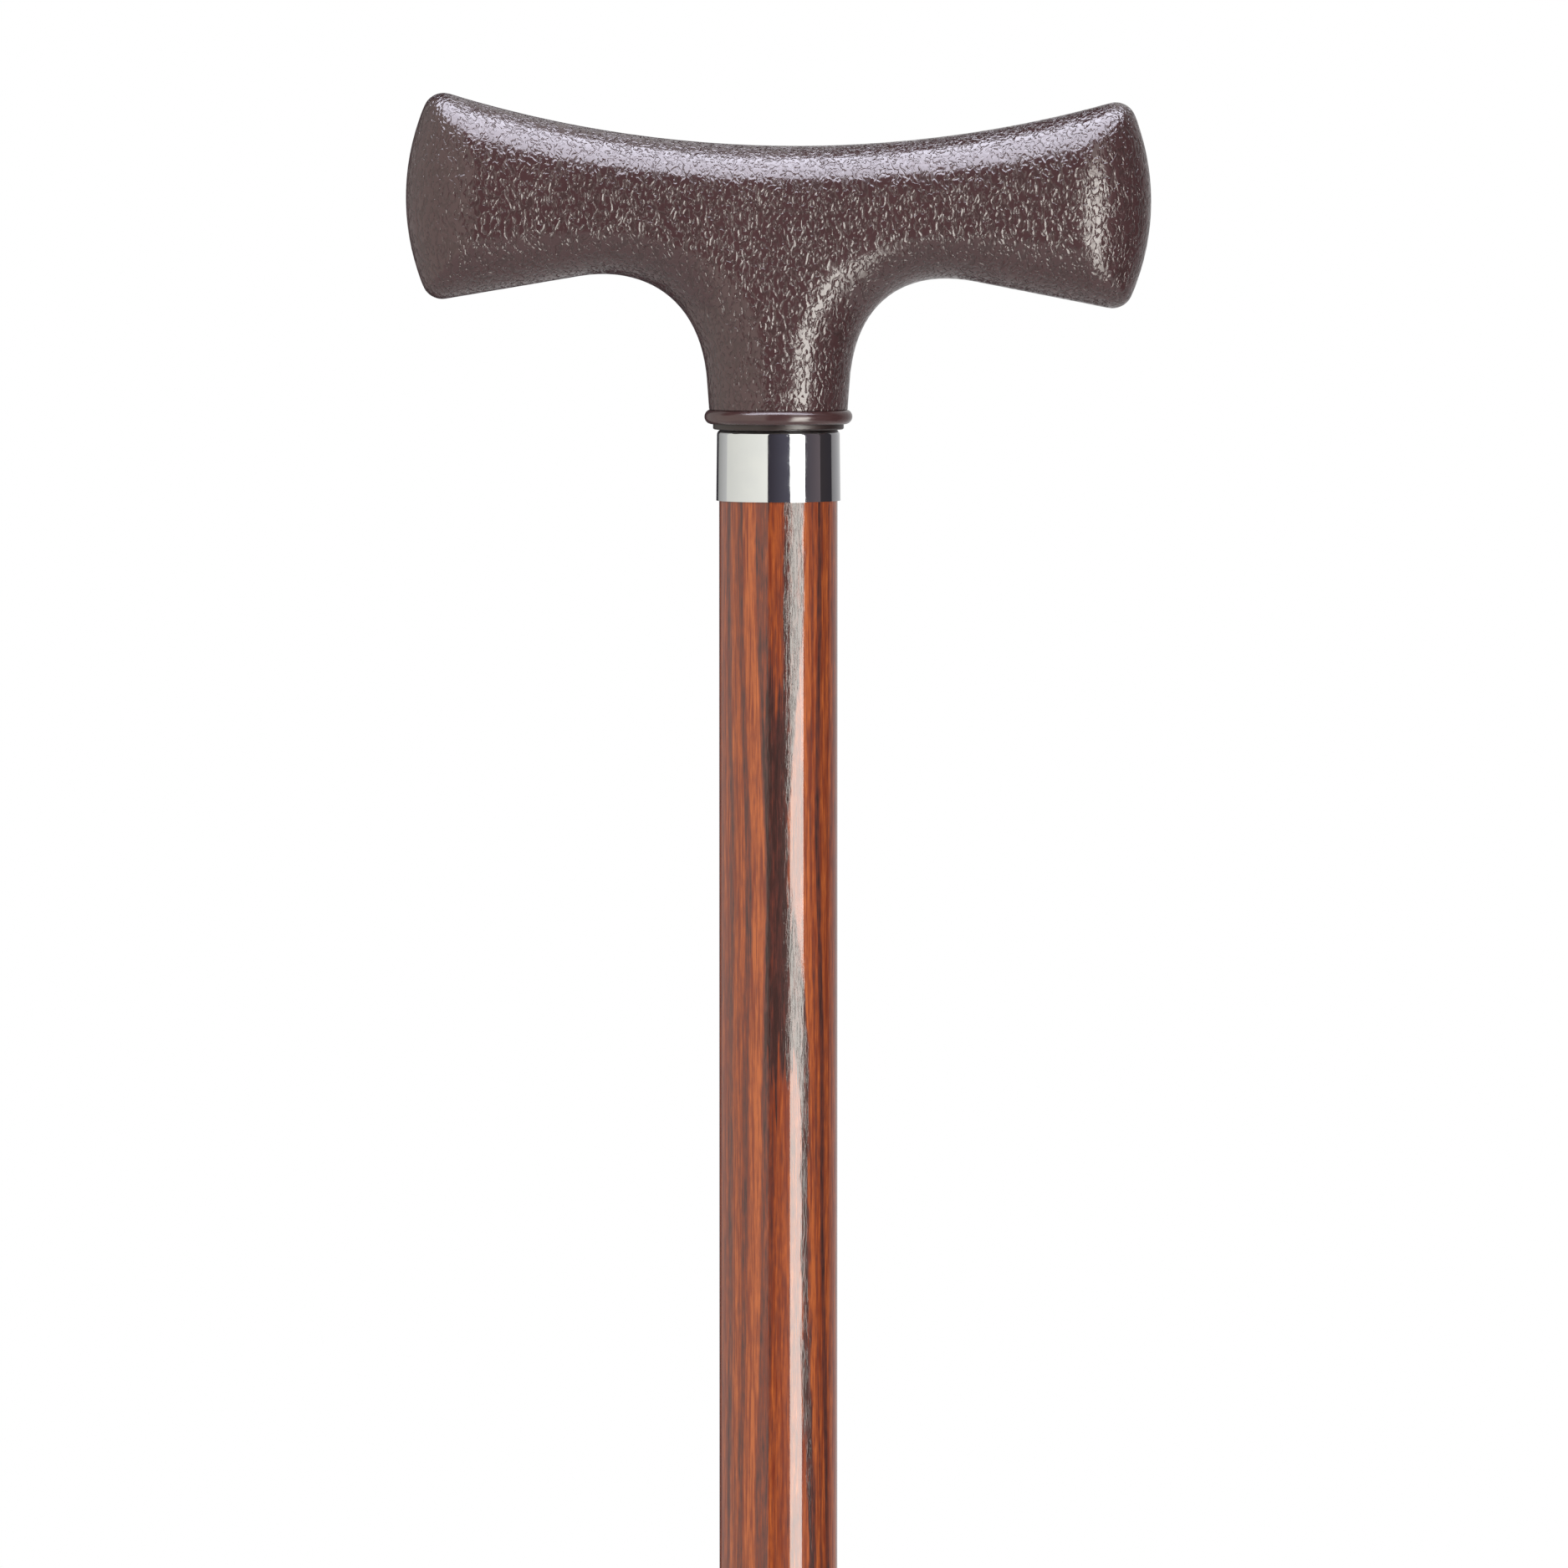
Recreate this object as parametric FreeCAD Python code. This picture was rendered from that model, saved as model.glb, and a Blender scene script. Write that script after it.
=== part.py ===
# T-handle walking cane: a round hardwood shaft with a push-on rubber tip below and a grained T handle on top.
# Millimetres. The origin is the centre of the tread on the floor, +Z runs up the shaft, X runs along the
# handle's arms, and the front of the cane looks along -Y. "Stand" is how far a round piece stands out
# beyond the one it is measured from, on each side.

import FreeCAD, Part
import math
import os

Vector = FreeCAD.Vector

# Fits
bond_gap = 0.05            # moulded, pressed or glued pieces, on each side
tip_running_gap = 0.05     # rubber socket round the shaft, on each side
tip_seating_gap = 0.3      # shaft's foot above the washer
cut_overrun = 1.0          # how far a cutting tool runs past the face it opens

# Shaft
shaft_length = 831.2       # foot to the top of the turned shoulder
shaft_diameter = 20.0
shoulder_step = 0.7        # the shoulder is turned down by this to take the band
foot_chamfer = 1.0

# Stud and the insert that it screws into
stud_diameter = 8.0
stud_in_handle = 22.0
stud_in_shaft = 40.0
stud_chamfer = 0.8
stud_bore_spare = 2.0      # bore left empty below the stud
insert_wall = 2.5
insert_spare = 4.0         # thread left empty above the stud
insert_groove_depth = 0.8
insert_groove_width = 3.0
insert_groove_count = 3

# Chromed band
band_height = 12.0
band_top_stand = 0.375     # beyond the shaft
band_foot_stand = 0.5      # beyond the shaft
band_shoulder_radius = 0.9

# Lip and bead at the foot of the handle
lip_stand = 1.05           # beyond the shaft
lip_height = 0.9
lip_edge_radius = 0.3
bead_stand = 1.45          # beyond the lip
bead_height = 2.5

# Handle outline seen from the front, heights measured up from the top of the bead
neck_foot_stand = 1.7      # beyond the shaft
neck_flare = 0.35          # gained by the neck over its straight part, on each side
neck_height = 4.8          # straight part below the fillet
saddle_height = 44.4
saddle_radius = 198.5
crotch_reach = 33.3        # where the fillet runs into the arm's underside
crotch_drop = 22.4         # that place below the saddle's lowest point
arm_underside_fall = 10.4  # degrees
arm_cant = 0.8             # degrees, the +X end is the lower one
handle_length = 125.7
end_round_radius = 39.6
end_centre_drop = 9.1      # middle of the round end below the saddle's lowest point
end_corner_radius = 3.5

# Handle from front to back: quarter ellipses run from the outline to a narrow flat on each side
handle_depth = 26.0
end_round_depth = 13.0     # length of the round end seen from above
front_flat_height = 5.0
front_flat_foot_width = 1.2
spine_drop = 11.2          # middle of the flat below the saddle's lowest point
spine_radius = 450.0       # the flat follows the saddle in a shallower arc

# Shares that shape the fillets: how far each end of a curve keeps its direction, of its rise or its reach
outline_rise_share = 0.86
outline_reach_share = 0.485
flat_rise_share = 0.885
flat_reach_share = 0.55
neck_widening_share = 0.54     # of the saddle's height, above which the neck has the handle's depth
end_fan_power = 8              # how suddenly the ribs fan out at the ends
neck_rib_count = 4
crotch_rib_count = 24
underside_rib_count = 8
corner_rib_count = 8
end_rib_count = 12
saddle_rib_count = 24
front_flat_first_rib = 18      # rib of the fillet where the flat turns from the neck into the arms

# Rigid core inside the skin
neck_skin_wall = 2.7
core_arm_diameter = 15.0
arm_end_skin_wall = 9.85

# Rubber tip
tip_height = 44.0
tip_floor = 10.2           # rubber under the washer
tip_sleeve_wall = 3.45
tip_mouth_radius = 1.2
tip_foot_stand = 5.5       # beyond the sleeve
tip_foot_height = 7.0
tip_foot_edge_radius = 1.5
tip_flare_height = 12.0    # from the foot up to where the flare has run into the sleeve
tip_ring_count = 3
tip_ring_height = 2.4
tip_ring_stand = 0.9       # beyond the sleeve
tip_ring_spacing = 5.0
tread_depth = 2.0
tread_groove_width = 2.0
tread_land_width = 2.5
washer_gap = 0.25          # between the washer and the socket's wall
washer_thickness = 1.5

# Places that follow from the sizes above
shaft_radius = shaft_diameter / 2
shaft_foot = tip_floor + washer_thickness + tip_seating_gap
shaft_top = shaft_foot + shaft_length
band_foot = shaft_top - band_height
neck_foot = shaft_top + lip_height + bead_height
shoulder_radius = shaft_radius - shoulder_step
lip_radius = shaft_radius + lip_stand
bead_radius = lip_radius + bead_stand
neck_foot_radius = shaft_radius + neck_foot_stand
neck_top_radius = neck_foot_radius + neck_flare
half_handle = handle_length / 2
half_depth = handle_depth / 2
half_flat = front_flat_height / 2
spine_height = saddle_height - spine_drop
spine_end = half_handle - end_round_depth - half_flat
core_stem_radius = neck_foot_radius - neck_skin_wall
insert_length = stud_in_handle + insert_spare
insert_radius = stud_diameter / 2 + bond_gap + insert_wall
socket_radius = shaft_radius + tip_running_gap
sleeve_radius = socket_radius + tip_sleeve_wall
tip_foot_radius = sleeve_radius + tip_foot_stand
tip_flare_top = tip_foot_height + tip_flare_height


def cylinder(radius, low, high):
    """An upright cylinder on the cane's axis between two heights."""
    return Part.makeCylinder(radius, high - low, Vector(0, 0, low))


def turned(edges):
    """A solid turned about the cane's axis from a closed profile in the XZ plane."""
    face = Part.Face(Part.Wire(Part.__sortEdges__(edges)))
    return face.revolve(Vector(0, 0, 0), Vector(0, 0, 1), 360)


def line(start, end):
    """A straight edge between two (x, z) points of the XZ plane."""
    return Part.LineSegment(Vector(start[0], 0, start[1]), Vector(end[0], 0, end[1])).toShape()


def arc(start, middle, end):
    """A round edge through three (x, z) points of the XZ plane."""
    points = [Vector(x, 0, z) for x, z in (start, middle, end)]
    return Part.Arc(*points).toShape()


def outward(centre, radius, angle):
    """The (x, z) point at an angle, in degrees above +X, on a circle."""
    turn = math.radians(angle)
    return centre[0] + radius * math.cos(turn), centre[1] + radius * math.sin(turn)


def quarter_round(centre, radius, start_angle):
    """A quarter of a circle that starts at an angle and turns anticlockwise."""
    stops = [outward(centre, radius, start_angle + share * 90) for share in (0, 0.5, 1)]
    return arc(*stops)


def path(points):
    """Straight edges through a row of (x, z) points."""
    return [line(a, b) for a, b in zip(points, points[1:])]


def smooth_step(share):
    """Runs from 0 to 1 with a level start and end."""
    held = min(max(share, 0), 1)
    return held * held * (3 - 2 * held)


def bezier(poles, share):
    """A point of a cubic curve given by its four poles."""
    rest = 1 - share
    factors = (rest ** 3, 3 * rest ** 2 * share, 3 * rest * share ** 2, share ** 3)
    total = Vector(0, 0, 0)
    for pole, factor in zip(poles, factors):
        total = total + pole * factor
    return total


def circle_point(centre, radius, angle):
    """A point of a circle in the XZ plane, with the angle in radians."""
    return centre + Vector(math.cos(angle), 0, math.sin(angle)) * radius


def sweep_angles(start, end, count):
    """Even steps from one angle to another, without the first."""
    return [start + (end - start) * step / count for step in range(1, count + 1)]


def bearing(vector):
    """The angle of a vector above +X, in radians."""
    return math.atan2(vector.z, vector.x)


def outer_meeting(centre_a, radius_a, centre_b, radius_b):
    """The meeting point of two circles that lies further out along +X."""
    across = centre_b - centre_a
    distance = across.Length
    reach = (radius_a ** 2 - radius_b ** 2 + distance ** 2) / (2 * distance)
    height = math.sqrt(radius_a ** 2 - reach ** 2)
    foot = centre_a + across * (reach / distance)
    aside = Vector(-across.z, 0, across.x) * (height / distance)
    return max(foot + aside, foot - aside, key=lambda point: point.x)


def spine_point(x):
    """A point of the spine, the middle of the narrow flat on the handle's front."""
    return Vector(x, 0, spine_height + x ** 2 / (2 * spine_radius))


def flat_edge(outline_point):
    """The point on the rim of the front flat that a rib from the outline runs to."""
    ratio = outline_point.x / spine_end
    held = outline_point.x / (1 + abs(ratio) ** end_fan_power) ** (1 / end_fan_power)
    root = spine_point(held)
    return root + (outline_point - root).normalize() * half_flat


def right_half_ribs():
    """Ribs of the handle's +X half, from the neck's foot round the end to the saddle.

    Each rib is (point on the outline, point on the front flat's rim, share of the cant).
    """
    foot = Vector(neck_foot_radius, 0, 0)
    neck_top = Vector(neck_top_radius, 0, neck_height)
    flat_foot = Vector(front_flat_foot_width / 2, 0, 0)
    flat_neck_top = Vector(front_flat_foot_width / 2, 0, neck_height)
    ribs = []
    for step in range(neck_rib_count):
        share = step / neck_rib_count
        ribs.append((foot + (neck_top - foot) * share, flat_foot + (flat_neck_top - flat_foot) * share, 0))

    fall = math.radians(arm_underside_fall)
    along = Vector(math.cos(fall), 0, -math.sin(fall))
    inward = Vector(math.sin(fall), 0, math.cos(fall))
    crotch = Vector(crotch_reach, 0, saddle_height - crotch_drop)
    flat_end = flat_edge(crotch)
    up_neck = (neck_top - foot).normalize()
    rise, reach = crotch.z - neck_top.z, crotch.x - neck_top.x
    outline_poles = (neck_top, neck_top + up_neck * (rise * outline_rise_share),
                     crotch - along * (reach * outline_reach_share), crotch)
    rise, reach = flat_end.z - flat_neck_top.z, flat_end.x - flat_neck_top.x
    flat_poles = (flat_neck_top, flat_neck_top + Vector(0, 0, rise * flat_rise_share),
                  flat_end - Vector(reach * flat_reach_share, 0, 0), flat_end)
    for step in range(crotch_rib_count + 1):
        share = step / crotch_rib_count
        ribs.append((bezier(outline_poles, share), bezier(flat_poles, share), smooth_step(share)))

    outline = []
    end_centre = Vector(half_handle - end_round_radius, 0, saddle_height - end_centre_drop)
    inner_radius = end_round_radius - end_corner_radius
    start = crotch + inward * end_corner_radius - end_centre
    run = math.sqrt(start.dot(along) ** 2 - start.Length ** 2 + inner_radius ** 2) - start.dot(along)
    lower_corner = end_centre + start + along * run
    for step in range(1, underside_rib_count + 1):
        outline.append(crotch + along * (run * step / underside_rib_count))

    lower_bearing = bearing(lower_corner - end_centre)
    for angle in sweep_angles(-math.pi / 2 - fall, lower_bearing, corner_rib_count):
        outline.append(circle_point(lower_corner, end_corner_radius, angle))

    saddle_centre = Vector(0, 0, saddle_height + saddle_radius)
    upper_corner = outer_meeting(end_centre, inner_radius, saddle_centre, saddle_radius + end_corner_radius)
    upper_bearing = bearing(upper_corner - end_centre)
    for angle in sweep_angles(lower_bearing, upper_bearing, end_rib_count):
        outline.append(circle_point(end_centre, end_round_radius, angle))

    to_saddle = bearing(saddle_centre - upper_corner)
    for angle in sweep_angles(upper_bearing, to_saddle, corner_rib_count):
        outline.append(circle_point(upper_corner, end_corner_radius, angle))
    for angle in sweep_angles(to_saddle - math.pi, -math.pi / 2, saddle_rib_count):
        outline.append(circle_point(saddle_centre, saddle_radius, angle))

    ribs += [(point, flat_edge(point), 1) for point in outline]
    return ribs


def canted(point, share):
    """A point moved by its share of the arms' cant about the spine's middle."""
    turn = math.radians(arm_cant)
    rise = point.z - spine_height
    leant = Vector(point.x * math.cos(turn) + rise * math.sin(turn), 0,
                   spine_height - point.x * math.sin(turn) + rise * math.cos(turn))
    return point + (leant - point) * share


def front_depth(height):
    """How far the front flat stands off the middle plane at a height, and how fast that grows upwards."""
    full_height = saddle_height * neck_widening_share
    share = min(max(height / full_height, 0), 1)
    gain = half_depth - neck_foot_radius
    return neck_foot_radius + gain * smooth_step(share), gain * 6 * share * (1 - share) / full_height


def rib_rows():
    """The three rows of poles of all ribs round the whole outline, and each rib's place along it."""
    right = right_half_ribs()
    places = [0]
    for (edge_a, flat_a, _), (edge_b, flat_b, _) in zip(right, right[1:]):
        places.append(places[-1] + ((edge_b - edge_a).Length + (flat_b - flat_a).Length) / 2)
    whole = 2 * places[-1]
    places += [whole - place for place in reversed(places[:-1])]
    left = [(Vector(-edge.x, 0, edge.z), Vector(-flat.x, 0, flat.z), share) for edge, flat, share in right]
    edge_row, corner_row, flat_row = [], [], []
    for edge, flat, share in right + left[-2::-1]:
        edge = canted(edge, share)
        flat = canted(flat, share)
        depth, slope = front_depth(flat.z)
        edge_row.append(edge)
        corner_row.append(edge - Vector(0, depth + slope * (edge.z - flat.z), 0))
        flat_row.append(flat - Vector(0, depth, 0))
    return (edge_row, corner_row, flat_row), places


def through(points, places):
    """A smooth curve through points, each at its place along the outline."""
    curve = Part.BSplineCurve()
    curve.interpolate(Points=points, Parameters=places)
    return curve


def stretch_of(curve, start, end):
    """The edge of a curve between two places."""
    piece = curve.copy()
    piece.segment(start, end)
    return piece.toShape()


def grip_envelope():
    """The handle's outer form as one solid, with the neck's foot at height zero."""
    rows, places = rib_rows()
    curves = [through(row, places) for row in rows]
    poles = list(zip(*(curve.getPoles() for curve in curves)))
    weights = [[1, math.sqrt(0.5), 1] for _ in poles]
    knots = curves[0].getKnots()
    surface = Part.BSplineSurface()
    surface.buildFromPolesMultsKnots(poles, curves[0].getMultiplicities(), [3, 3], knots, [0, 1],
                                     False, False, 3, 2, weights)

    flat_start = neck_rib_count + front_flat_first_rib
    arm_start = neck_rib_count + crotch_rib_count
    round_start = arm_start + underside_rib_count
    round_end = round_start + 2 * corner_rib_count + end_rib_count
    middle = round_end + saddle_rib_count
    joins = (0, flat_start, arm_start, round_start, round_end, middle)
    stops = [places[rib] for rib in joins] + [places[-1 - rib] for rib in joins[-2::-1]]
    ribbed = []
    for start, end in zip(stops, stops[1:]):
        piece = surface.copy()
        piece.segment(start, end, 0, 1)
        ribbed.append(piece.toShape())
    right_rim, *arm_rims, left_rim = [stretch_of(curves[2], *pair) for pair in zip(stops, stops[1:])]
    neck_strip = Part.makeRuledSurface(right_rim, left_rim)
    neck_corners = (left_rim.valueAt(left_rim.FirstParameter), right_rim.valueAt(right_rim.LastParameter))
    arm_flat = Part.Face(Part.Wire([*arm_rims, Part.makeLine(*neck_corners)]))
    front = ribbed + [neck_strip, arm_flat]
    back = [face.mirror(Vector(0, 0, 0), Vector(0, 1, 0)) for face in front]

    rim = [edge for face in front + back for edge in face.Edges if edge.BoundBox.ZMax < neck_height / 2]
    foot = Part.Face(Part.Wire(Part.__sortEdges__(rim)))
    shell = Part.Shell(front + back + [foot])
    shell.sewShape()
    solid = Part.Solid(shell)
    if solid.Volume < 0:
        solid.reverse()
    solid.translate(Vector(0, 0, neck_foot))
    return solid


def core_in_skin(gap):
    """The part of the core that the skin covers, grown by a gap: a stem and two round-ended arms."""
    radius = core_arm_diameter / 2 + gap
    reach = half_handle - arm_end_skin_wall - core_arm_diameter / 2
    middle = neck_foot + spine_height
    stem = cylinder(core_stem_radius + gap, neck_foot, middle)
    arms = Part.makeCylinder(radius, 2 * reach, Vector(-reach, 0, middle), Vector(1, 0, 0))
    for side in (-reach, reach):
        arms = arms.fuse(Part.makeSphere(radius, Vector(side, 0, middle)))
    arms.rotate(Vector(0, 0, middle), Vector(0, 1, 0), arm_cant)
    return stem.fuse(arms).removeSplitter()


def make_grip_skin():
    """Soft grained skin: the handle's outer form less the core that it is moulded over."""
    return grip_envelope().cut(core_in_skin(bond_gap))


def make_handle_core():
    """Rigid core: the covered stem and arms, and below them the bead and the lip that stay in sight."""
    bead_half = bead_height / 2
    bead_foot = shaft_top + lip_height
    bead_root = bead_radius - bead_half
    lip_edge = (lip_radius - lip_edge_radius, shaft_top + lip_edge_radius)
    profile = path([(0, shaft_top), (lip_edge[0], shaft_top)])
    profile.append(quarter_round(lip_edge, lip_edge_radius, -90))
    profile += path([(lip_radius, lip_edge[1]), (lip_radius, bead_foot), (bead_root, bead_foot)])
    profile.append(arc((bead_root, bead_foot), (bead_radius, bead_foot + bead_half), (bead_root, neck_foot)))
    profile += path([(bead_root, neck_foot), (0, neck_foot), (0, shaft_top)])
    body = turned(profile).fuse(core_in_skin(0)).removeSplitter()
    pocket_top = shaft_top + insert_length + bond_gap
    return body.cut(cylinder(insert_radius + bond_gap, shaft_top - cut_overrun, pocket_top))


def make_insert_nut():
    """Threaded metal insert with grooves round it, which the core's plastic flows into."""
    body = cylinder(insert_radius, shaft_top, shaft_top + insert_length)
    pitch = insert_length / insert_groove_count
    for turn in range(insert_groove_count):
        middle = shaft_top + pitch * (turn + 0.5)
        low, high = middle - insert_groove_width / 2, middle + insert_groove_width / 2
        ring = cylinder(insert_radius + cut_overrun, low, high)
        body = body.cut(ring.cut(cylinder(insert_radius - insert_groove_depth, low, high)))
    bore_radius = stud_diameter / 2 + bond_gap
    return body.cut(cylinder(bore_radius, shaft_top - cut_overrun, shaft_top + insert_length + cut_overrun))


def make_joining_stud():
    """Steel stud from the bore of the shaft up into the insert, chamfered at both ends."""
    radius = stud_diameter / 2
    low, high = shaft_top - stud_in_shaft, shaft_top + stud_in_handle
    return turned(path([(0, low), (radius - stud_chamfer, low), (radius, low + stud_chamfer),
                        (radius, high - stud_chamfer), (radius - stud_chamfer, high), (0, high), (0, low)]))


def make_collar_band():
    """Chromed band on the shaft's turned shoulder, a little wider at its foot, with a rounded top edge."""
    bore = shoulder_radius + bond_gap
    top, foot = shaft_radius + band_top_stand, shaft_radius + band_foot_stand
    centre = (top - band_shoulder_radius, shaft_top - band_shoulder_radius)
    profile = path([(centre[0], shaft_top), (bore, shaft_top), (bore, band_foot), (foot, band_foot),
                    (top, centre[1])])
    profile.append(quarter_round(centre, band_shoulder_radius, 0))
    return turned(profile)


def make_shaft():
    """Hardwood stick with the turned shoulder above, the chamfered foot below and the stud's bore."""
    stick = turned(path([(0, shaft_foot), (shaft_radius - foot_chamfer, shaft_foot),
                         (shaft_radius, shaft_foot + foot_chamfer), (shaft_radius, band_foot),
                         (shoulder_radius, band_foot), (shoulder_radius, shaft_top), (0, shaft_top),
                         (0, shaft_foot)]))
    bore_floor = shaft_top - stud_in_shaft - stud_bore_spare
    return stick.cut(cylinder(stud_diameter / 2 + bond_gap, bore_floor, shaft_top + cut_overrun))


def make_rubber_tip():
    """Push-on rubber tip: a wide treaded foot, a hollow flare, and a ringed sleeve round the socket."""
    sleeve = sleeve_radius
    mouth = (sleeve - tip_mouth_radius, tip_height - tip_mouth_radius)
    toe = (tip_foot_radius - tip_foot_edge_radius, tip_foot_edge_radius)
    brow = (toe[0], tip_foot_height - tip_foot_edge_radius)
    run = brow[0] - sleeve
    flare_radius = (run ** 2 + tip_flare_height ** 2) / (2 * run)
    flare_centre = (sleeve + flare_radius, tip_flare_top)
    flare_turn = math.degrees(math.asin(tip_flare_height / flare_radius))

    profile = path([(0, 0), (toe[0], 0)])
    profile.append(quarter_round(toe, tip_foot_edge_radius, -90))
    profile += path([(tip_foot_radius, toe[1]), (tip_foot_radius, brow[1])])
    profile.append(quarter_round(brow, tip_foot_edge_radius, 0))
    profile.append(arc((brow[0], tip_foot_height), outward(flare_centre, flare_radius, 180 + flare_turn / 2),
                       (sleeve, tip_flare_top)))
    reached = tip_flare_top
    ring_half = tip_ring_height / 2
    for ring in reversed(range(tip_ring_count)):
        middle = tip_height - tip_ring_spacing * (ring + 1)
        profile += path([(sleeve, reached), (sleeve, middle - ring_half)])
        profile.append(arc((sleeve, middle - ring_half), (sleeve + tip_ring_stand, middle),
                           (sleeve, middle + ring_half)))
        reached = middle + ring_half
    profile += path([(sleeve, reached), (sleeve, mouth[1])])
    profile.append(quarter_round(mouth, tip_mouth_radius, 0))
    profile += path([(mouth[0], tip_height), (socket_radius, tip_height), (socket_radius, tip_floor),
                     (0, tip_floor), (0, 0)])
    tip = turned(profile)
    pitch = tread_land_width + tread_groove_width
    for groove in range(int((toe[0] - tread_land_width) / pitch)):
        inner = tread_land_width + groove * pitch
        cutter = cylinder(inner + tread_groove_width, -cut_overrun, tread_depth)
        tip = tip.cut(cutter.cut(cylinder(inner, -cut_overrun, tread_depth)))
    return tip


def make_tip_washer():
    """Steel disc on the socket's floor, which keeps the shaft from punching through the rubber."""
    return cylinder(socket_radius - washer_gap, tip_floor, tip_floor + washer_thickness)


pieces = {
    "grip_skin": make_grip_skin,
    "handle_core": make_handle_core,
    "insert_nut": make_insert_nut,
    "joining_stud": make_joining_stud,
    "collar_band": make_collar_band,
    "shaft": make_shaft,
    "rubber_tip": make_rubber_tip,
    "tip_washer": make_tip_washer,
}

os.makedirs("parts", exist_ok=True)
for name, make in pieces.items():
    shape = make()
    shape.exportStep(f"parts/{name}.step")
    box = shape.BoundBox
    print(f"{name}: {len(shape.Solids)} solid, {shape.Volume / 1000:.2f} cm3, valid {shape.isValid()}, "
          f"x {box.XMin:.2f} to {box.XMax:.2f}, z {box.ZMin:.2f} to {box.ZMax:.2f}")
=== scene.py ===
# %% [markdown]
# # A T-handle walking cane, dressed for its portrait
#
# The cane arrives here as finished solids: a moulded T handle, a bead ring, a chromed band, a hardwood stick
# and a rubber tip. This lesson leaves every solid where it is and gives it the surface that the real piece
# has. It loads the solids first, because all sizes below are read from them.

# %% Load the cane's solids
import math

import bpy
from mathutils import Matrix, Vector


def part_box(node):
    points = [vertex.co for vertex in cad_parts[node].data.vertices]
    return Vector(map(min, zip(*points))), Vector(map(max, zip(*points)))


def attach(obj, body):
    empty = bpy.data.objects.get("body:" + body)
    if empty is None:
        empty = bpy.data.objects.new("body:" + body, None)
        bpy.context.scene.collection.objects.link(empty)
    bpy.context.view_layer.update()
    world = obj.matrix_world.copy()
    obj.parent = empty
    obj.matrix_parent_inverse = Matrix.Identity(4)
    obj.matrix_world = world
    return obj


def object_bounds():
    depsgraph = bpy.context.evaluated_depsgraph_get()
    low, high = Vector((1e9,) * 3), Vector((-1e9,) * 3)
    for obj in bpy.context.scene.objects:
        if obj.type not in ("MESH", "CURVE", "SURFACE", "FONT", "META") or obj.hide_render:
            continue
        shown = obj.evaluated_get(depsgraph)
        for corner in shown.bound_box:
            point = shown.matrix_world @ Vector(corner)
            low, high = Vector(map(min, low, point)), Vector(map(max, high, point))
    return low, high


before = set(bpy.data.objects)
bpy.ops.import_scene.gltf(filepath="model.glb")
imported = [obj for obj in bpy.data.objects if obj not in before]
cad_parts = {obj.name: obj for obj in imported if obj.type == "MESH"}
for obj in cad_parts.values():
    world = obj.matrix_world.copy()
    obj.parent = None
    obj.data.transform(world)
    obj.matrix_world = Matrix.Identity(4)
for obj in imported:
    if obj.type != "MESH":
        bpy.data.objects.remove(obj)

cad_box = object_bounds()
MM = 0.001                       # metres in a millimetre
print("pieces:", ", ".join(sorted(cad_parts)))
print("cane is", round((cad_box[1].z - cad_box[0].z) / MM), "mm tall")

# %% [markdown]
# ## The camera
#
# The picture shows only the top of the cane, square to the front, from far away. A long lens keeps the two
# arms the same size. The band's lower rim sags a little in the picture, so the camera stands about two
# degrees above it and looks slightly down. The lens follows from how many millimetres the picture spans.

# %% Place the camera
PICTURE_WIDTH = 265.3 * MM       # width of the picture where the cane stands
AXIS_TO_CENTRE = 0.95 * MM       # the picture's middle lies this far to the right of the stick
BAND_TO_CENTRE = -48.0 * MM      # and this far above the band's lower rim
CAMERA_DISTANCE = 1.8            # metres in front of the stick
CAMERA_RISE = 0.034              # above the band's rim, as a share of the distance
SENSOR_WIDTH = 36.0

band_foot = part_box("collar_band")[0].z
target = Vector((AXIS_TO_CENTRE, 0, band_foot + BAND_TO_CENTRE))
eye = Vector((AXIS_TO_CENTRE, -CAMERA_DISTANCE, band_foot + CAMERA_RISE * CAMERA_DISTANCE))

camera = bpy.data.objects.new("camera", bpy.data.cameras.new("camera"))
bpy.context.scene.collection.objects.link(camera)
camera.data.sensor_width = SENSOR_WIDTH
camera.data.lens = SENSOR_WIDTH * (target - eye).length / PICTURE_WIDTH
camera.location = eye
camera.rotation_mode = "QUATERNION"
camera.rotation_quaternion = (target - eye).to_track_quat("-Z", "Y")
bpy.context.scene.camera = camera
bpy.context.scene.view_settings.view_transform = "Standard"
print("lens", round(camera.data.lens), "mm")

# %% [markdown]
# ## Helpers
#
# A colour is written the way a paint chart gives it, as sRGB hex, and turned to the linear numbers that a
# renderer works in. A material is a tree of nodes. One function adds a node: the keyword arguments are the
# node's own settings, and the dictionary holds its inputs, each either a plain value or the output of
# another node. It hands back an output, so nodes can be strung together one line at a time.

# %% Colour and node helpers
def linear(hex_colour):
    """The linear RGBA of an sRGB hex colour."""
    parts = [int(hex_colour[i:i + 2], 16) / 255 for i in (1, 3, 5)]
    return [c / 12.92 if c <= 0.04045 else ((c + 0.055) / 1.055) ** 2.4 for c in parts] + [1.0]


def add(tree, kind, inputs=None, output=0, **settings):
    """Adds a shader node, sets it up, fills or links its inputs, and returns one of its outputs."""
    node = tree.nodes.new("ShaderNode" + kind)
    for name, value in settings.items():
        setattr(node, name, value)
    for name, value in (inputs or {}).items():
        if isinstance(value, bpy.types.NodeSocket):
            tree.links.new(value, node.inputs[name])
        else:
            node.inputs[name].default_value = value
    return node.outputs[output] if node.outputs else node


def blank_tree(owner):
    """The node tree of a material or world, emptied."""
    owner.use_nodes = True
    owner.node_tree.nodes.clear()
    return owner.node_tree


print("linear mid grey:", round(linear("#808080")[0], 3))

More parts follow.
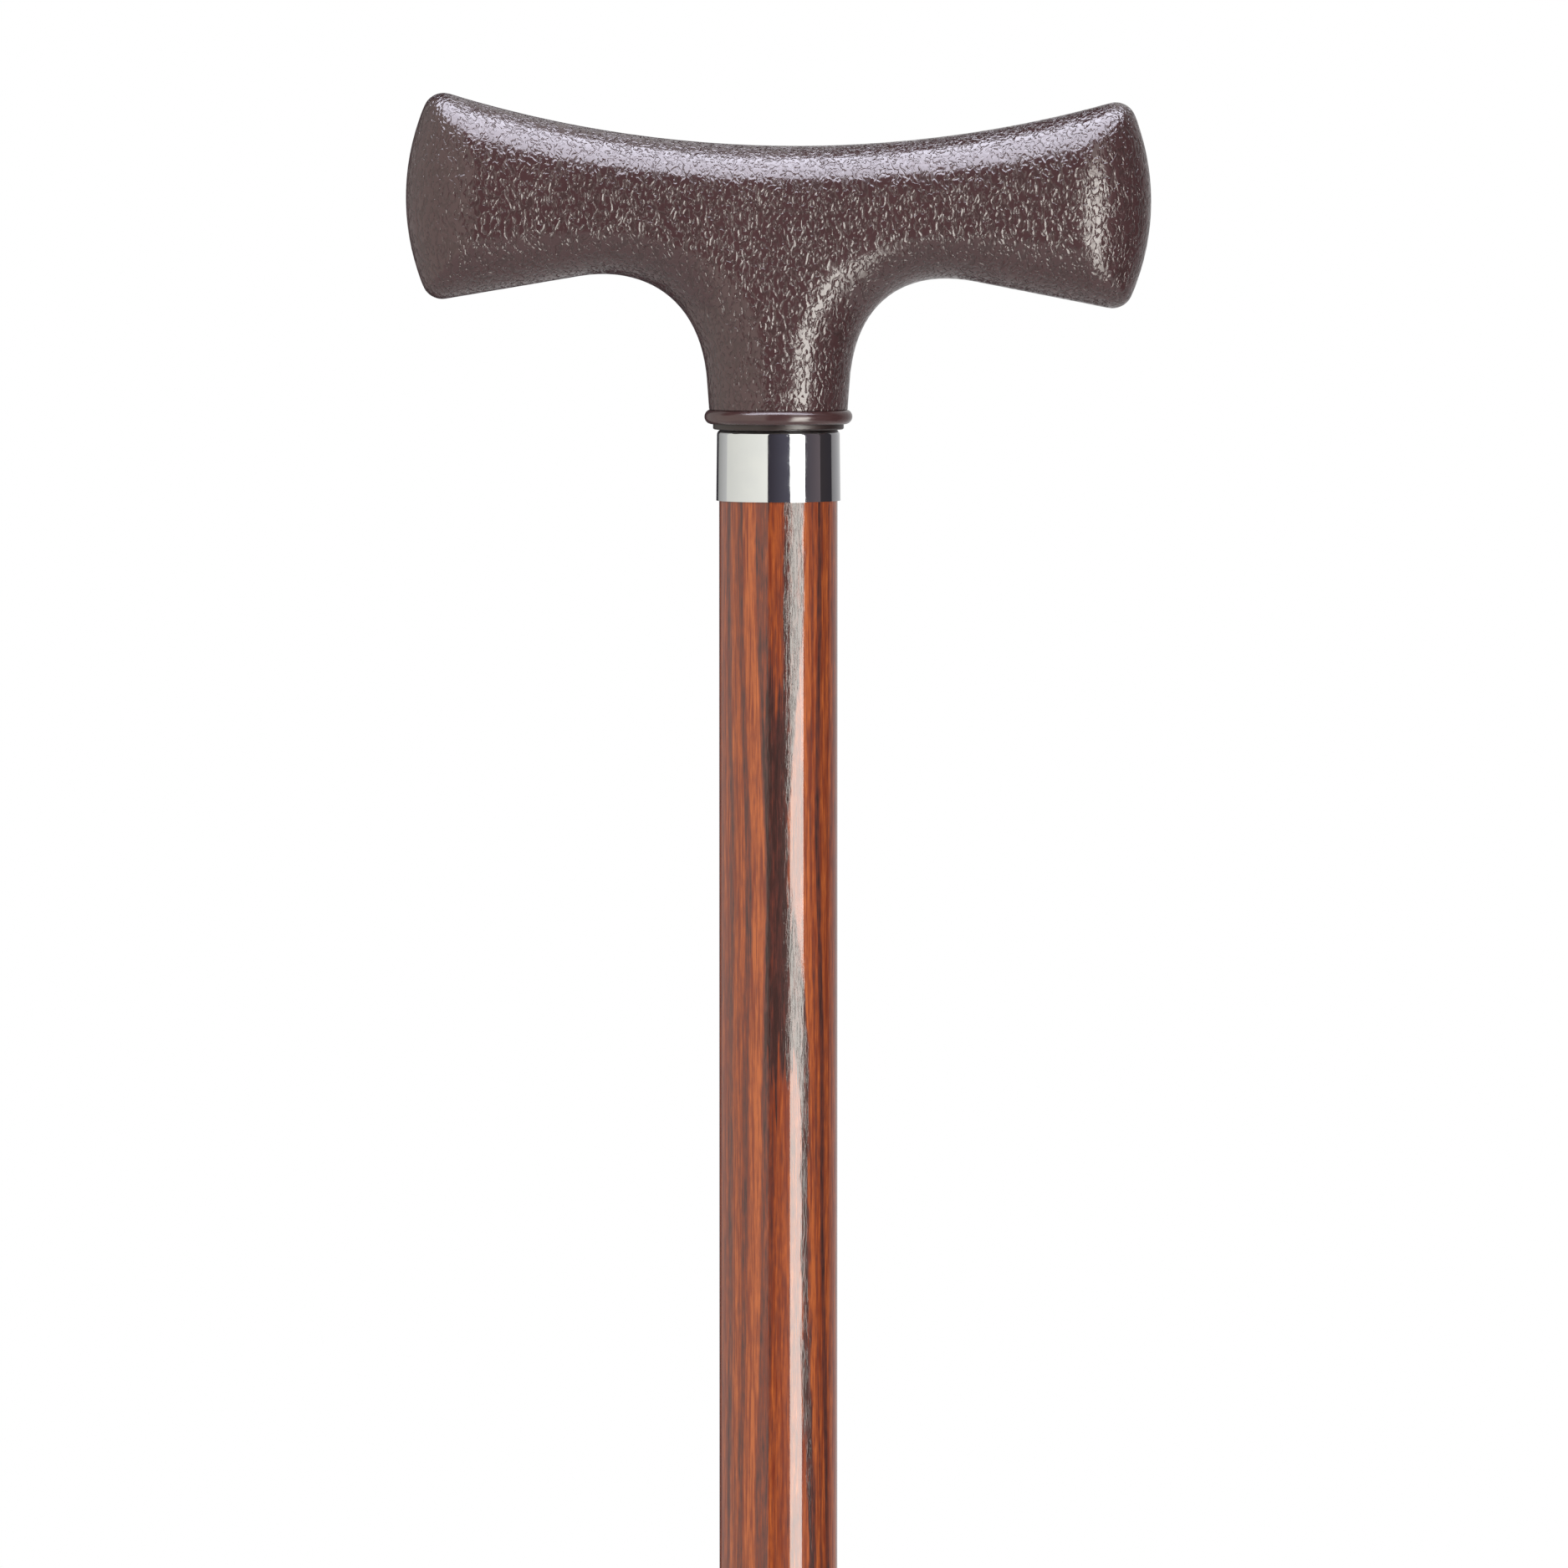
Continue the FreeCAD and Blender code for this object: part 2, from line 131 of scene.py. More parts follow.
# %% [markdown]
# ## The studio
#
# A polished band is only as good as what it mirrors. Glossy pieces are photographed inside a ring of boards:
# white ones that show up as bright stripes, and black ones between them. A real board is lit unevenly, so
# each one runs from one colour to another along the ring. Soft lamps and a pale sky give the plain light that
# shows the colours as they are.
#
# The brightest board is a tall strip light, which draws the line down the stick. It is dim at its top, so
# that it doesn't flood the handle's upper edge when the cane is seen from behind. Its foot runs inwards along
# the floor and carries the line on into the curve under the arm, whose surface looks down. A dark flag before
# one edge of the strip makes the line narrower further down the stick.

# %% Plan of the boards
BOARD_RADIUS = 1.2               # metres from the cane to the boards
FLAG_RADIUS = 1.18               # the flag stands just before them

# The rows of corners of a board, each (metres up, share of the full strength, metres from the cane)
EVEN_ROWS = (
    (-0.3, 1.0, BOARD_RADIUS),
    (2.9, 1.0, BOARD_RADIUS))
STRIP_ROWS = (
    (0.03, 0.8, BOARD_RADIUS),
    (0.4, 1.0, BOARD_RADIUS),
    (1.06, 1.0, BOARD_RADIUS),
    (1.22, 0.15, BOARD_RADIUS),
    (2.9, 0.15, BOARD_RADIUS))
STRIP_FOOT_ROWS = (
    (0.01, 0.0, 0.4),
    (0.012, 0.05, 0.5),
    (0.015, 0.25, 0.6),
    (0.02, 0.8, 0.74),
    (0.03, 0.8, BOARD_RADIUS))
FLAG_ROWS = (
    (0.3, 1.0, FLAG_RADIUS),
    (0.62, 1.0, FLAG_RADIUS))
BOARDS = {                       # name: (from and to bearing in degrees, colours there, strength, rows)
    "board_left_far": (-150, -112, "#A8A8A4", "#E1E1DD", 0.95, EVEN_ROWS),
    "board_left_white": (-112, -19.6, "#DFDFD6", "#FFFFF4", 1.25, EVEN_ROWS),
    "board_camera": (-19.6, 22.6, "#4C4750", "#74717F", 0.7, EVEN_ROWS),
    "board_right_strip": (22.6, 50, "#F8FAF2", "#FCFDF7", 12.8, STRIP_ROWS),
    "board_strip_foot": (22.6, 62, "#F8FAF2", "#A4A59F", 12.8, STRIP_FOOT_ROWS),
    "board_right": (50, 85, "#68626A", "#8A7E82", 0.7, EVEN_ROWS),
    "board_right_black": (85, 118, "#504A4C", "#48444A", 0.7, EVEN_ROWS),
    "board_back_grey": (118, 180, "#A8A6A6", "#FFFFFF", 0.75, EVEN_ROWS),
    "board_back_line": (-180, -150, "#48454A", "#48454A", 0.7, EVEN_ROWS),
    "board_flag": (46.8, 51, "#4C4750", "#4C4750", 0.7, FLAG_ROWS),
}
print("the boards take the bearings", sorted({bearing for board in BOARDS.values() for bearing in board[:2]}))

# %% [markdown]
# A board is made as a sheet that glows, bent round the cane, so its edges stay upright in the band. Every
# corner of the sheet has a colour, and the glow runs from one to the next. The boards are seen by reflections
# alone: they would hide the cane from the camera, and their light is the lamps' work.

# %% Boards that the glossy pieces mirror
ARC_STEP = 4                     # degrees from corner to corner along a board


def glow(name, strength):
    """A glowing surface, in the colours of its corners."""
    material = bpy.data.materials.new(name)
    tree = blank_tree(material)
    shade = add(tree, "VertexColor", layer_name="shade")
    add(tree, "OutputMaterial", {"Surface": add(tree, "Emission", {"Color": shade, "Strength": strength})})
    return material


def sheet_of(name, points, faces, material, shades=None):
    """A mesh object from its corners, each with a colour if shades are given."""
    mesh = bpy.data.meshes.new(name)
    mesh.from_pydata(points, [], faces)
    mesh.materials.append(material)
    if shades:
        layer = mesh.color_attributes.new("shade", "FLOAT_COLOR", "POINT")
        for corner, shade in zip(layer.data, shades):
            corner.color = shade
    made = bpy.data.objects.new(name, mesh)
    bpy.context.scene.collection.objects.link(made)
    return made


def for_reflections_only(board):
    """Keeps a board out of the picture, of the plain light and of the shadows."""
    board.visible_camera = False
    board.visible_diffuse = False
    board.visible_shadow = False


def curved_board(name, start, end, first, last, strength, rows):
    """A board round the cane between two bearings, in degrees to the right of the camera."""
    count = max(2, math.ceil((end - start) / ARC_STEP))
    ends = Vector(linear(first)), Vector(linear(last))
    points = []
    shades = []
    for step in range(count + 1):
        share = step / count
        turn = math.radians(start + (end - start) * share)
        for height, level, radius in rows:
            points.append((radius * math.sin(turn), -radius * math.cos(turn), height))
            shades.append(ends[0].lerp(ends[1], share) * level)
    high = len(rows)
    faces = [(at, at + 1, at + 1 + high, at + high)
             for column in range(count) for at in range(column * high, (column + 1) * high - 1)]
    for_reflections_only(sheet_of(name, points, faces, glow(name, strength), shades))


for name, board in BOARDS.items():
    curved_board(name, *board)
print(len(BOARDS), "boards round the cane")

# %% [markdown]
# One more board hangs over the handle: a large softbox, which draws the long bright line along the top of
# both arms.

# %% Softbox over the handle
SOFTBOX_RISE = 1.0               # metres above the handle
SOFTBOX_FRONT = 0.52             # metres that it reaches to the front,
SOFTBOX_BACK = 0.58              # to the back
SOFTBOX_HALF_WIDTH = 0.85        # and to either side
SOFTBOX_STRENGTH = 10.9
SOFTBOX_COLOUR = "#EFF0FF"       # faintly blue

handle_top = cad_box[1].z
corners = [(side * SOFTBOX_HALF_WIDTH, y, handle_top + SOFTBOX_RISE)
           for side, y in ((-1, -SOFTBOX_FRONT), (1, -SOFTBOX_FRONT), (1, SOFTBOX_BACK), (-1, SOFTBOX_BACK))]
for_reflections_only(sheet_of("board_softbox", corners, [(0, 1, 2, 3)], glow("softbox", SOFTBOX_STRENGTH),
                              [linear(SOFTBOX_COLOUR)] * 4))
print("softbox", round(handle_top + SOFTBOX_RISE, 2), "m above the floor")

# %% [markdown]
# The lamps do the plain lighting. They are large, so shadows are soft, and they are left out of reflections,
# where the boards already say what there is to see. The sky is plain white to the camera and in reflections,
# and dimmer as a light.

# %% Soft lamps and the pale sky
SKY_LIGHT = 0.42                 # how strongly the sky lights the cane
LAMPS = {                        # name: (place in metres, side in metres, watts)
    "lamp_front_left": ((-1.3, -1.7, 1.9), 1.2, 20),
    "lamp_front_right": ((1.5, -1.5, 1.3), 1.0, 13),
    "lamp_back": ((0.2, 1.9, 2.2), 1.4, 16),
}

for name, (place, side, power) in LAMPS.items():
    lamp = bpy.data.objects.new(name, bpy.data.lights.new(name, "AREA"))
    lamp.data.energy = power
    lamp.data.size = side
    lamp.location = place
    lamp.rotation_mode = "QUATERNION"
    lamp.rotation_quaternion = (Vector((0, 0, handle_top / 2)) - lamp.location).to_track_quat("-Z", "Y")
    lamp.visible_glossy = False
    bpy.context.scene.collection.objects.link(lamp)

world = bpy.data.worlds.new("pale_sky")
bpy.context.scene.world = world
tree = blank_tree(world)
seen = add(tree, "LightPath", output="Is Camera Ray")
for kind in ("Is Glossy Ray", "Is Transmission Ray"):
    seen = add(tree, "Math", {0: seen, 1: add(tree, "LightPath", output=kind)}, operation="MAXIMUM")
strength = add(tree, "MapRange", {"Value": seen, "To Min": SKY_LIGHT, "To Max": 1.0})
sky = add(tree, "Background", {"Color": linear("#FFFFFF"), "Strength": strength})
add(tree, "OutputWorld", {"Surface": sky})
print("lamps:", ", ".join(LAMPS))

# %% [markdown]
# The floor is a pale round sheet that melts into the sky towards its rim, so no horizon line crosses the
# picture. It belongs to the studio. It goes with the rubber tip, because the tip stands on it also when the
# stick is pulled out of the tip.

# %% Floor
FLOOR_RADIUS = 4.0
FLOOR_SOLID_RADIUS = 1.4         # inside which the floor is fully there
FLOOR_MOTTLE = 3.0               # blotches of the paint per metre
RIM_POINTS = 96

material = bpy.data.materials.new("painted_floor")
tree = blank_tree(material)
place = add(tree, "TexCoord", output="Object")
reach = add(tree, "VectorMath", {0: place}, output="Value", operation="LENGTH")
fade = add(tree, "MapRange", {"Value": reach, "From Min": FLOOR_SOLID_RADIUS, "From Max": FLOOR_RADIUS},
           interpolation_type="SMOOTHSTEP")
mottle = add(tree, "TexNoise", {"Vector": place, "Scale": FLOOR_MOTTLE})
paint = add(tree, "Mix", {0: mottle, 6: linear("#EDEDEB"), 7: linear("#F4F4F3")}, output=2, data_type="RGBA")
painted = add(tree, "BsdfDiffuse", {"Color": paint})
melting = add(tree, "MixShader", {0: fade, 1: painted, 2: add(tree, "BsdfTransparent")})
add(tree, "OutputMaterial", {"Surface": melting})

rim = [(FLOOR_RADIUS * math.cos(turn), FLOOR_RADIUS * math.sin(turn), 0)
       for turn in (math.tau * step / RIM_POINTS for step in range(RIM_POINTS))]
floor = sheet_of("floor", rim, [tuple(range(RIM_POINTS))], material)
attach(floor, "tip")
print("floor radius", FLOOR_RADIUS, "m")

# %% [markdown]
# ## Grained elastomer
#
# The grip is a soft thermoplastic elastomer, moulded over a rigid core in a tool whose walls were etched with
# a leather grain: smooth plateaus, parted by fine worm-like creases, a bit over a millimetre apart. Creases
# that wander like that are the contour lines of a smooth noise: wherever it crosses its middle value, there
# is a crease. A second noise fills some creases in, so that they end and start again as the real ones do.
# They run up and down more than across, so the noise is drawn out along the height.

# %% Creases of the leather grain
CREASE_FAMILIES = (              # (mm across a blob of the noise, crease half width as a share of its range)
    (1.4, 0.15),
    (0.92, 0.13))
FAMILY_SHIFT = 50                # blobs that a family is moved along x, so that the two don't coincide
CREASE_DEPTH = 0.1 * MM
GRAIN_STRETCH = (1, 0.85, 0.6)   # the noise along x, y and z: less than 1 draws the creases out that way
GAP_RATE = 1.4                   # how much finer the noise is that fills creases in
GAP_START = 0.46                 # where that noise, of 0 to 1, starts to fill a crease in
GAP_FULL = 0.53


def millimetres(tree):
    """Places on the cane in millimetres."""
    metres = add(tree, "TexCoord", output="Object")
    return add(tree, "VectorMath", {0: metres, "Scale": 1 / MM}, operation="SCALE")


def crease_height(tree, places):
    """Plateaus at 1, parted by creases that reach down to 0."""
    stretched = add(tree, "VectorMath", {0: places, 1: GRAIN_STRETCH}, operation="MULTIPLY")
    height = None
    for blob, half_width in CREASE_FAMILIES:
        moved = add(tree, "VectorMath", {0: stretched, 1: (FAMILY_SHIFT * blob, 0, 0)}, operation="ADD")
        value = add(tree, "TexNoise", {"Vector": moved, "Scale": 1 / blob, "Detail": 0.5, "Distortion": 0.2})
        off_middle = add(tree, "Math", {0: value, 1: 0.5}, operation="SUBTRACT")
        off_middle = add(tree, "Math", {0: off_middle}, operation="ABSOLUTE")
        plateau = add(tree, "MapRange", {"Value": off_middle, "From Max": half_width},
                      interpolation_type="SMOOTHSTEP")
        gap = add(tree, "TexNoise", {"Vector": moved, "Scale": GAP_RATE / blob, "Detail": 0.0})
        filled = add(tree, "MapRange", {"Value": gap, "From Min": GAP_START, "From Max": GAP_FULL})
        filled = add(tree, "Math", {0: filled, 1: plateau}, operation="MAXIMUM")
        if height is not None:
            filled = add(tree, "Math", {0: height, 1: filled}, operation="MINIMUM")
        height = filled
    return height


print("creases", CREASE_DEPTH / MM, "mm deep")

# %% [markdown]
# The elastomer itself is dark brown and takes a half gloss from the tool. Its IOR is that of most rubbers
# and plastics, about 1.5. The plateaus aren't quite flat but pillowed, and finely matt, which frays the edges
# of every reflection. The creases are duller, and their floors are painted darker as painted shade.

# %% Elastomer for the grip
CREASE_SHADE_SHARE = 0.4                # how much painted shade darkens the floor of a crease
PILLOW_RATE = 1.5                # pillows per mm
PILLOW_HEIGHT = 0.03 * MM
SPECK_RATE = 4.0                 # matt specks per mm
SPECK_HEIGHT = 0.004 * MM


def make_grained_elastomer():
    """Moulded thermoplastic elastomer: dark brown plateaus with a half gloss."""
    material = bpy.data.materials.new("moulded_grained_elastomer")
    tree = blank_tree(material)
    places = millimetres(tree)
    height = crease_height(tree, places)
    cloud = add(tree, "TexNoise", {"Vector": places, "Scale": 0.06, "Detail": 3.0})
    brown = add(tree, "Mix", {0: cloud, 6: linear("#4B3334"), 7: linear("#593D3E")}, output=2,
                data_type="RGBA")
    # painted shade: the floors of the creases are darkened towards a near-black brown, as the shade that
    # falls in them
    crease_shade = add(tree, "MapRange", {"Value": height, "From Max": 0.8, "To Min": CREASE_SHADE_SHARE, "To Max": 0.0})
    brown = add(tree, "Mix", {0: crease_shade, 6: brown, 7: linear("#2E1D1A")}, output=2, data_type="RGBA")
    rough = add(tree, "MapRange", {"Value": height, "From Min": 0.2, "From Max": 1.0, "To Min": 0.26,
                                   "To Max": 0.15})
    creased = add(tree, "Bump", {"Height": height, "Distance": CREASE_DEPTH})
    speck = add(tree, "TexNoise", {"Vector": places, "Scale": SPECK_RATE, "Detail": 3.0})
    matt = add(tree, "Bump", {"Height": speck, "Strength": 0.5, "Distance": SPECK_HEIGHT, "Normal": creased})
    pillow = add(tree, "TexNoise", {"Vector": places, "Scale": PILLOW_RATE, "Detail": 1.0})
    pillowed = add(tree, "Bump", {"Height": pillow, "Distance": PILLOW_HEIGHT, "Normal": matt})
    shader = add(tree, "BsdfPrincipled", {"Base Color": brown, "Roughness": rough, "IOR": 1.5,
                                          "Specular IOR Level": 0.55, "Normal": pillowed})
    add(tree, "OutputMaterial", {"Surface": shader})
    return material


def wear(node, material):
    """Gives one of the cane's solids a material."""
    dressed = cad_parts[node]
    if not dressed.material_slots:
        dressed.data.materials.append(material)
    for slot in dressed.material_slots:
        slot.material = material
    print(node, "wears", material.name)


wear("grip_skin", make_grained_elastomer())

# %% [markdown]
# ## Smooth nylon
#
# The bead and the lip belong to the rigid core, moulded in brown glass-filled nylon with a smooth, glossy
# face. It mirrors the lamps as thin clean lines. The lip lies in the groove between bead and band, where
# shade falls, so it is painted dark there as painted shade, and made dull.

# %% Nylon for the core
BEAD_HEIGHT = 2.5                # mm
BEAD_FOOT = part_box("grip_skin")[0].z / MM - BEAD_HEIGHT
GAP_SHADE_FADE = 0.3                  # mm up the bead over which the painted shade ends


def make_smooth_nylon():
    """Injection-moulded nylon in the grip's brown, glossy."""
    material = bpy.data.materials.new("moulded_nylon")
    tree = blank_tree(material)
    places = millimetres(tree)
    cloud = add(tree, "TexNoise", {"Vector": places, "Scale": 0.4, "Detail": 4.0})
    brown = add(tree, "Mix", {0: cloud, 6: linear("#4D3435"), 7: linear("#593D3C")}, output=2,
                data_type="RGBA")
    speck = add(tree, "TexNoise", {"Vector": places, "Scale": 2.5, "Detail": 4.0})
    rough = add(tree, "MapRange", {"Value": speck, "From Min": 0.3, "From Max": 0.7, "To Min": 0.15,
                                   "To Max": 0.24})
    z = add(tree, "SeparateXYZ", {0: places}, output="Z")
    # painted shade: the lip below the bead, in the gap above the band, is darkened towards a near-black brown
    # and made duller
    gap_shade = add(tree, "MapRange", {"Value": z, "From Min": BEAD_FOOT, "From Max": BEAD_FOOT + GAP_SHADE_FADE,
                                   "To Min": 1.0, "To Max": 0.0})
    brown = add(tree, "Mix", {0: gap_shade, 6: brown, 7: linear("#2A1816")}, output=2, data_type="RGBA")
    rough = add(tree, "Mix", {0: gap_shade, 2: rough, 3: 0.38})
    uneven = add(tree, "Bump", {"Height": cloud, "Strength": 0.3, "Distance": 0.02 * MM})
    shader = add(tree, "BsdfPrincipled", {"Base Color": brown, "Roughness": rough, "IOR": 1.53,
                                          "Normal": uneven})
    add(tree, "OutputMaterial", {"Surface": shader})
    return material


wear("handle_core", make_smooth_nylon())

# %% [markdown]
# ## Chromed band
#
# The band is drawn from brass tube, polished and plated with nickel and chromium. Chromium mirrors a little
# two thirds of the light and is faintly blue. Polishing leaves hairlines that run round the band, far finer
# than the picture can show, so they are drawn about five times too coarse.

# %% Chromium for the band
HAIRLINE_SPACING = 0.25          # mm, drawn coarser than the real 0.05 mm
ROUND_THE_BAND = (0.04, 0.04, 1)     # the hairlines' noise hardly changes along x and y


def make_polished_chrome():
    """Bright chromium plate with polishing hairlines round the band, and a few smudges."""
    material = bpy.data.materials.new("chromium_plate")
    tree = blank_tree(material)
    places = millimetres(tree)
    drawn = add(tree, "VectorMath", {0: places, 1: ROUND_THE_BAND}, operation="MULTIPLY")
    hairlines = add(tree, "TexNoise", {"Vector": drawn, "Scale": 1 / HAIRLINE_SPACING, "Detail": 3.0})
    smudge = add(tree, "TexNoise", {"Vector": places, "Scale": 0.22, "Detail": 3.0})
    rough = add(tree, "MapRange", {"Value": smudge, "From Min": 0.4, "From Max": 0.7, "To Min": 0.04,
                                   "To Max": 0.1})
    tint = add(tree, "Mix", {0: smudge, 6: linear("#D5D5D7"), 7: linear("#CBCCD1")}, output=2,
               data_type="RGBA")
    lined = add(tree, "Bump", {"Height": hairlines, "Strength": 0.12, "Distance": 0.004 * MM})
    shader = add(tree, "BsdfPrincipled", {"Base Color": tint, "Metallic": 1.0, "Roughness": rough,
                                          "Normal": lined})
    add(tree, "OutputMaterial", {"Surface": shader})
    return material


wear("collar_band", make_polished_chrome())

# %% [markdown]
# ## Lacquered hardwood
#
# The stick is turned from a plank whose growth layers stand upright and face the side, so the front shows
# them edge on, as stripes down the whole length. Orange-brown layers are dense and take the lacquer like
# glass. Dark layers are full of open pores that the lacquer doesn't quite fill, so they break the light.
# The layers are given by a list. On their way up the stick they drift to the side, by one measure left of the
# axis and by another right of it.

# %% Growth layers of the stick
GROWTH_LAYERS = (                # (mm to the right of the axis under the band, how dark the layer is there)
    (-10.6, 0.35), (-8.8, 0.35), (-8.6, 0.62), (-8.2, 0.62), (-7.95, 0.25),
    (-6.9, 0.3), (-6.75, 0.6), (-6.15, 0.6), (-5.95, 0.2),
    (-4.1, 0.1), (-3.8, 0.6), (-1.9, 0.6), (-1.7, 0.3), (0.0, 0.35), (2.0, 0.25), (4.3, 0.1),
    (5.4, 0.15), (5.6, 0.48), (5.8, 0.48), (6.0, 0.2),
    (6.4, 0.25), (6.6, 0.78), (7.0, 0.74), (7.35, 0.25),
    (8.2, 0.25), (8.4, 0.45), (8.7, 0.25), (9.3, 0.45), (10.6, 0.4))
DRIFT_LEFT = (                   # (mm up the cane, mm that the layers left of the axis have moved right)
    (652, -0.2), (671, 0.15), (690, 1.0), (709, 1.35), (729, 1.05), (743, 1.25), (758, 1.7), (773, 1.75),
    (787, 1.2), (807, 0.35), (826, 0.0))
DRIFT_RIGHT = (                  # the same for the layers right of it
    (652, 1.6), (671, 1.4), (690, 0.95), (709, 0.7), (729, 0.68), (743, 0.57), (758, 0.1), (773, -0.35),
    (787, -0.25), (807, 0.0), (826, 0.0))
DRIFT_SPAN = 3.0                 # mm, more than any drift
EDGE_FADE = (-9.5, -4.0)         # mm: the drift grows from a small share to the whole between these places
EDGE_SHARE = 0.15                # which is that small share
SIDES_MEET = (-1.5, 5.0)         # mm: between these the right drift takes over from the left one
print(len(GROWTH_LAYERS), "points through the layers")

# %% [markdown]
# A shader has no list to look things up in, but a colour ramp will do: its stops are the points of a curve,
# in grey, and what comes out is stretched to the measure wanted. Fibres come from a noise that is drawn out
# along the stick.

# %% Curves and fibres
RAMP_STOPS = 32                  # as many as a colour ramp holds


def fill_ramp(ramp, stops):
    """Sets a colour ramp's stops to pairs of place and colour."""
    elements = ramp.node.color_ramp.elements
    elements.remove(elements[-1])
    for index, (place, colour) in enumerate(stops):
        stop = elements[0] if index == 0 else elements.new(place)
        stop.position = place
        stop.color = colour
    return ramp


def follow(tree, place, stations, low, high, smooth=False):
    """A value between low and high that runs through stations, each a pair of place and value."""
    first, last = stations[0][0], stations[-1][0]
    share = add(tree, "MapRange", {"Value": place, "From Min": first, "From Max": last})
    curve = add(tree, "ValToRGB", {0: share})
    fill_ramp(curve, [((at - first) / (last - first), [(value - low) / (high - low)] * 3 + [1])
                      for at, value in stations])
    curve.node.color_ramp.interpolation = "B_SPLINE" if smooth else "LINEAR"
    return add(tree, "MapRange", {"Value": curve, "To Min": low, "To Max": high})


def fibre_noise(tree, places, rate, detail, roughness=0.5):
    """A noise of 0 to 1 that changes by a rate per mm along x, y and z, slowly along the fibres."""
    drawn_out = add(tree, "VectorMath", {0: places, 1: rate}, operation="MULTIPLY")
    return add(tree, "TexNoise", {"Vector": drawn_out, "Scale": 1.0, "Detail": detail,
                                  "Roughness": roughness})


print("the layers take", len(GROWTH_LAYERS), "of the", RAMP_STOPS, "stops of a ramp")

# %% [markdown]
# The colour is a solid texture: it depends on the depth through the layers, which is the place across the
# stick plus a slow wobble, so every side of the stick shows what a saw would have left there. On the front of
# the upper stick the wobble is small, and the list and the drift say where the layers are. Behind it and
# below it the wobble is whole.

# %% Depth through the layers
WOBBLES = (                      # (how fast it changes per mm along x, y and z, mm that it sways across)
    ((0.03, 0.07, 0.005), 1.2),
    ((0.25, 0.25, 0.022), 0.6),
    ((1.1, 1.1, 0.08), 0.3))
STILL_SHARE = 0.2                # how much of the wobble is left where the layers are given
GIVEN_FOOT = (600.0, 645.0)      # mm up the cane: the given layers fade in between these heights
GIVEN_BACK = 3.0                 # mm behind the axis where they have faded out


def beyond_the_front(tree, places):
    """0 on the front of the upper stick, where the layers are given, and 1 behind it and below it."""
    y, z = (add(tree, "SeparateXYZ", {0: places}, output=axis) for axis in ("Y", "Z"))
    behind = add(tree, "MapRange", {"Value": y, "From Min": 0.0, "From Max": GIVEN_BACK})
    low = add(tree, "MapRange", {"Value": z, "From Min": GIVEN_FOOT[0], "From Max": GIVEN_FOOT[1],
                                 "To Min": 1.0, "To Max": 0.0})
    return add(tree, "Math", {0: behind, 1: low}, operation="MAXIMUM")


def only_in_front(tree, places, share):
    """A share that ends where the given layers end."""
    in_front = add(tree, "Math", {0: 1.0, 1: beyond_the_front(tree, places)}, operation="SUBTRACT")
    return add(tree, "Math", {0: share, 1: in_front}, operation="MULTIPLY")


def layer_depth(tree, places):
    """The place across the layers in mm: to the right, less their drift, plus the wobble of the growth."""
    x, z = (add(tree, "SeparateXYZ", {0: places}, output=axis) for axis in ("X", "Z"))
    left = follow(tree, z, DRIFT_LEFT, -DRIFT_SPAN, DRIFT_SPAN, smooth=True)
    fading = add(tree, "MapRange", {"Value": x, "From Min": EDGE_FADE[0], "From Max": EDGE_FADE[1],
                                    "To Min": EDGE_SHARE, "To Max": 1.0})
    left = add(tree, "Math", {0: left, 1: fading}, operation="MULTIPLY")
    right = follow(tree, z, DRIFT_RIGHT, -DRIFT_SPAN, DRIFT_SPAN, smooth=True)
    side = add(tree, "MapRange", {"Value": x, "From Min": SIDES_MEET[0], "From Max": SIDES_MEET[1]})
    drift = add(tree, "Mix", {0: side, 2: left, 3: right})
    depth = add(tree, "Math", {0: x, 1: drift}, operation="SUBTRACT")
    swing = add(tree, "MapRange", {"Value": beyond_the_front(tree, places), "To Min": STILL_SHARE,
                                   "To Max": 1.0})
    for rate, sway in WOBBLES:
        swell = fibre_noise(tree, places, rate, 1.0)
        swell = add(tree, "MapRange", {"Value": swell, "From Min": 0.25, "From Max": 0.75, "To Min": -sway,
                                       "To Max": sway}, clamp=False)
        depth = add(tree, "Math", {0: swell, 1: swing, 2: depth}, operation="MULTIPLY_ADD")
    return depth


print("the given layers show in full above", GIVEN_FOOT[1], "mm")

# %% [markdown]
# One more dark layer crosses the front just where the strip light is mirrored. It is the porous one, which
# turns the bright line grey and breaks it up. It wanders and grows wide and narrow, so its middle and its
# half width are given at fourteen heights. Beside it runs a stripe of plain brown wood.

# %% The porous layer and the brown stripe
POROUS_MIDDLE = (                # (mm up the cane, mm to the right of the axis)
    (652, 5.8), (671, 5.2), (690, 4.7), (709, 4.4), (729, 4.5), (736, 4.2), (745, 3.4),
    (758, 2.7), (765, 1.7), (773, 1.25), (787, 1.8), (797, 2.2), (807, 2.45), (830, 2.55))
POROUS_HALF = (                  # (mm up the cane, mm of half width)
    (652, 0.7), (671, 0.6), (690, 0.8), (709, 0.7), (729, 0.85), (736, 1.1), (745, 1.5),
    (758, 0.8), (765, 0.25), (773, 0.3), (787, 0.55), (797, 1.1), (807, 1.65), (830, 1.75))
POROUS_WIGGLE = 0.35             # mm that its edges wiggle
POROUS_EDGE = (-0.35, 0.3)       # mm past its half width between which it ends
BROWN_STRIPE = (2.0, 4.2)        # mm to the right of the axis
BROWN_EDGES = (0.15, 0.2)        # mm either side of those places over which it starts and ends


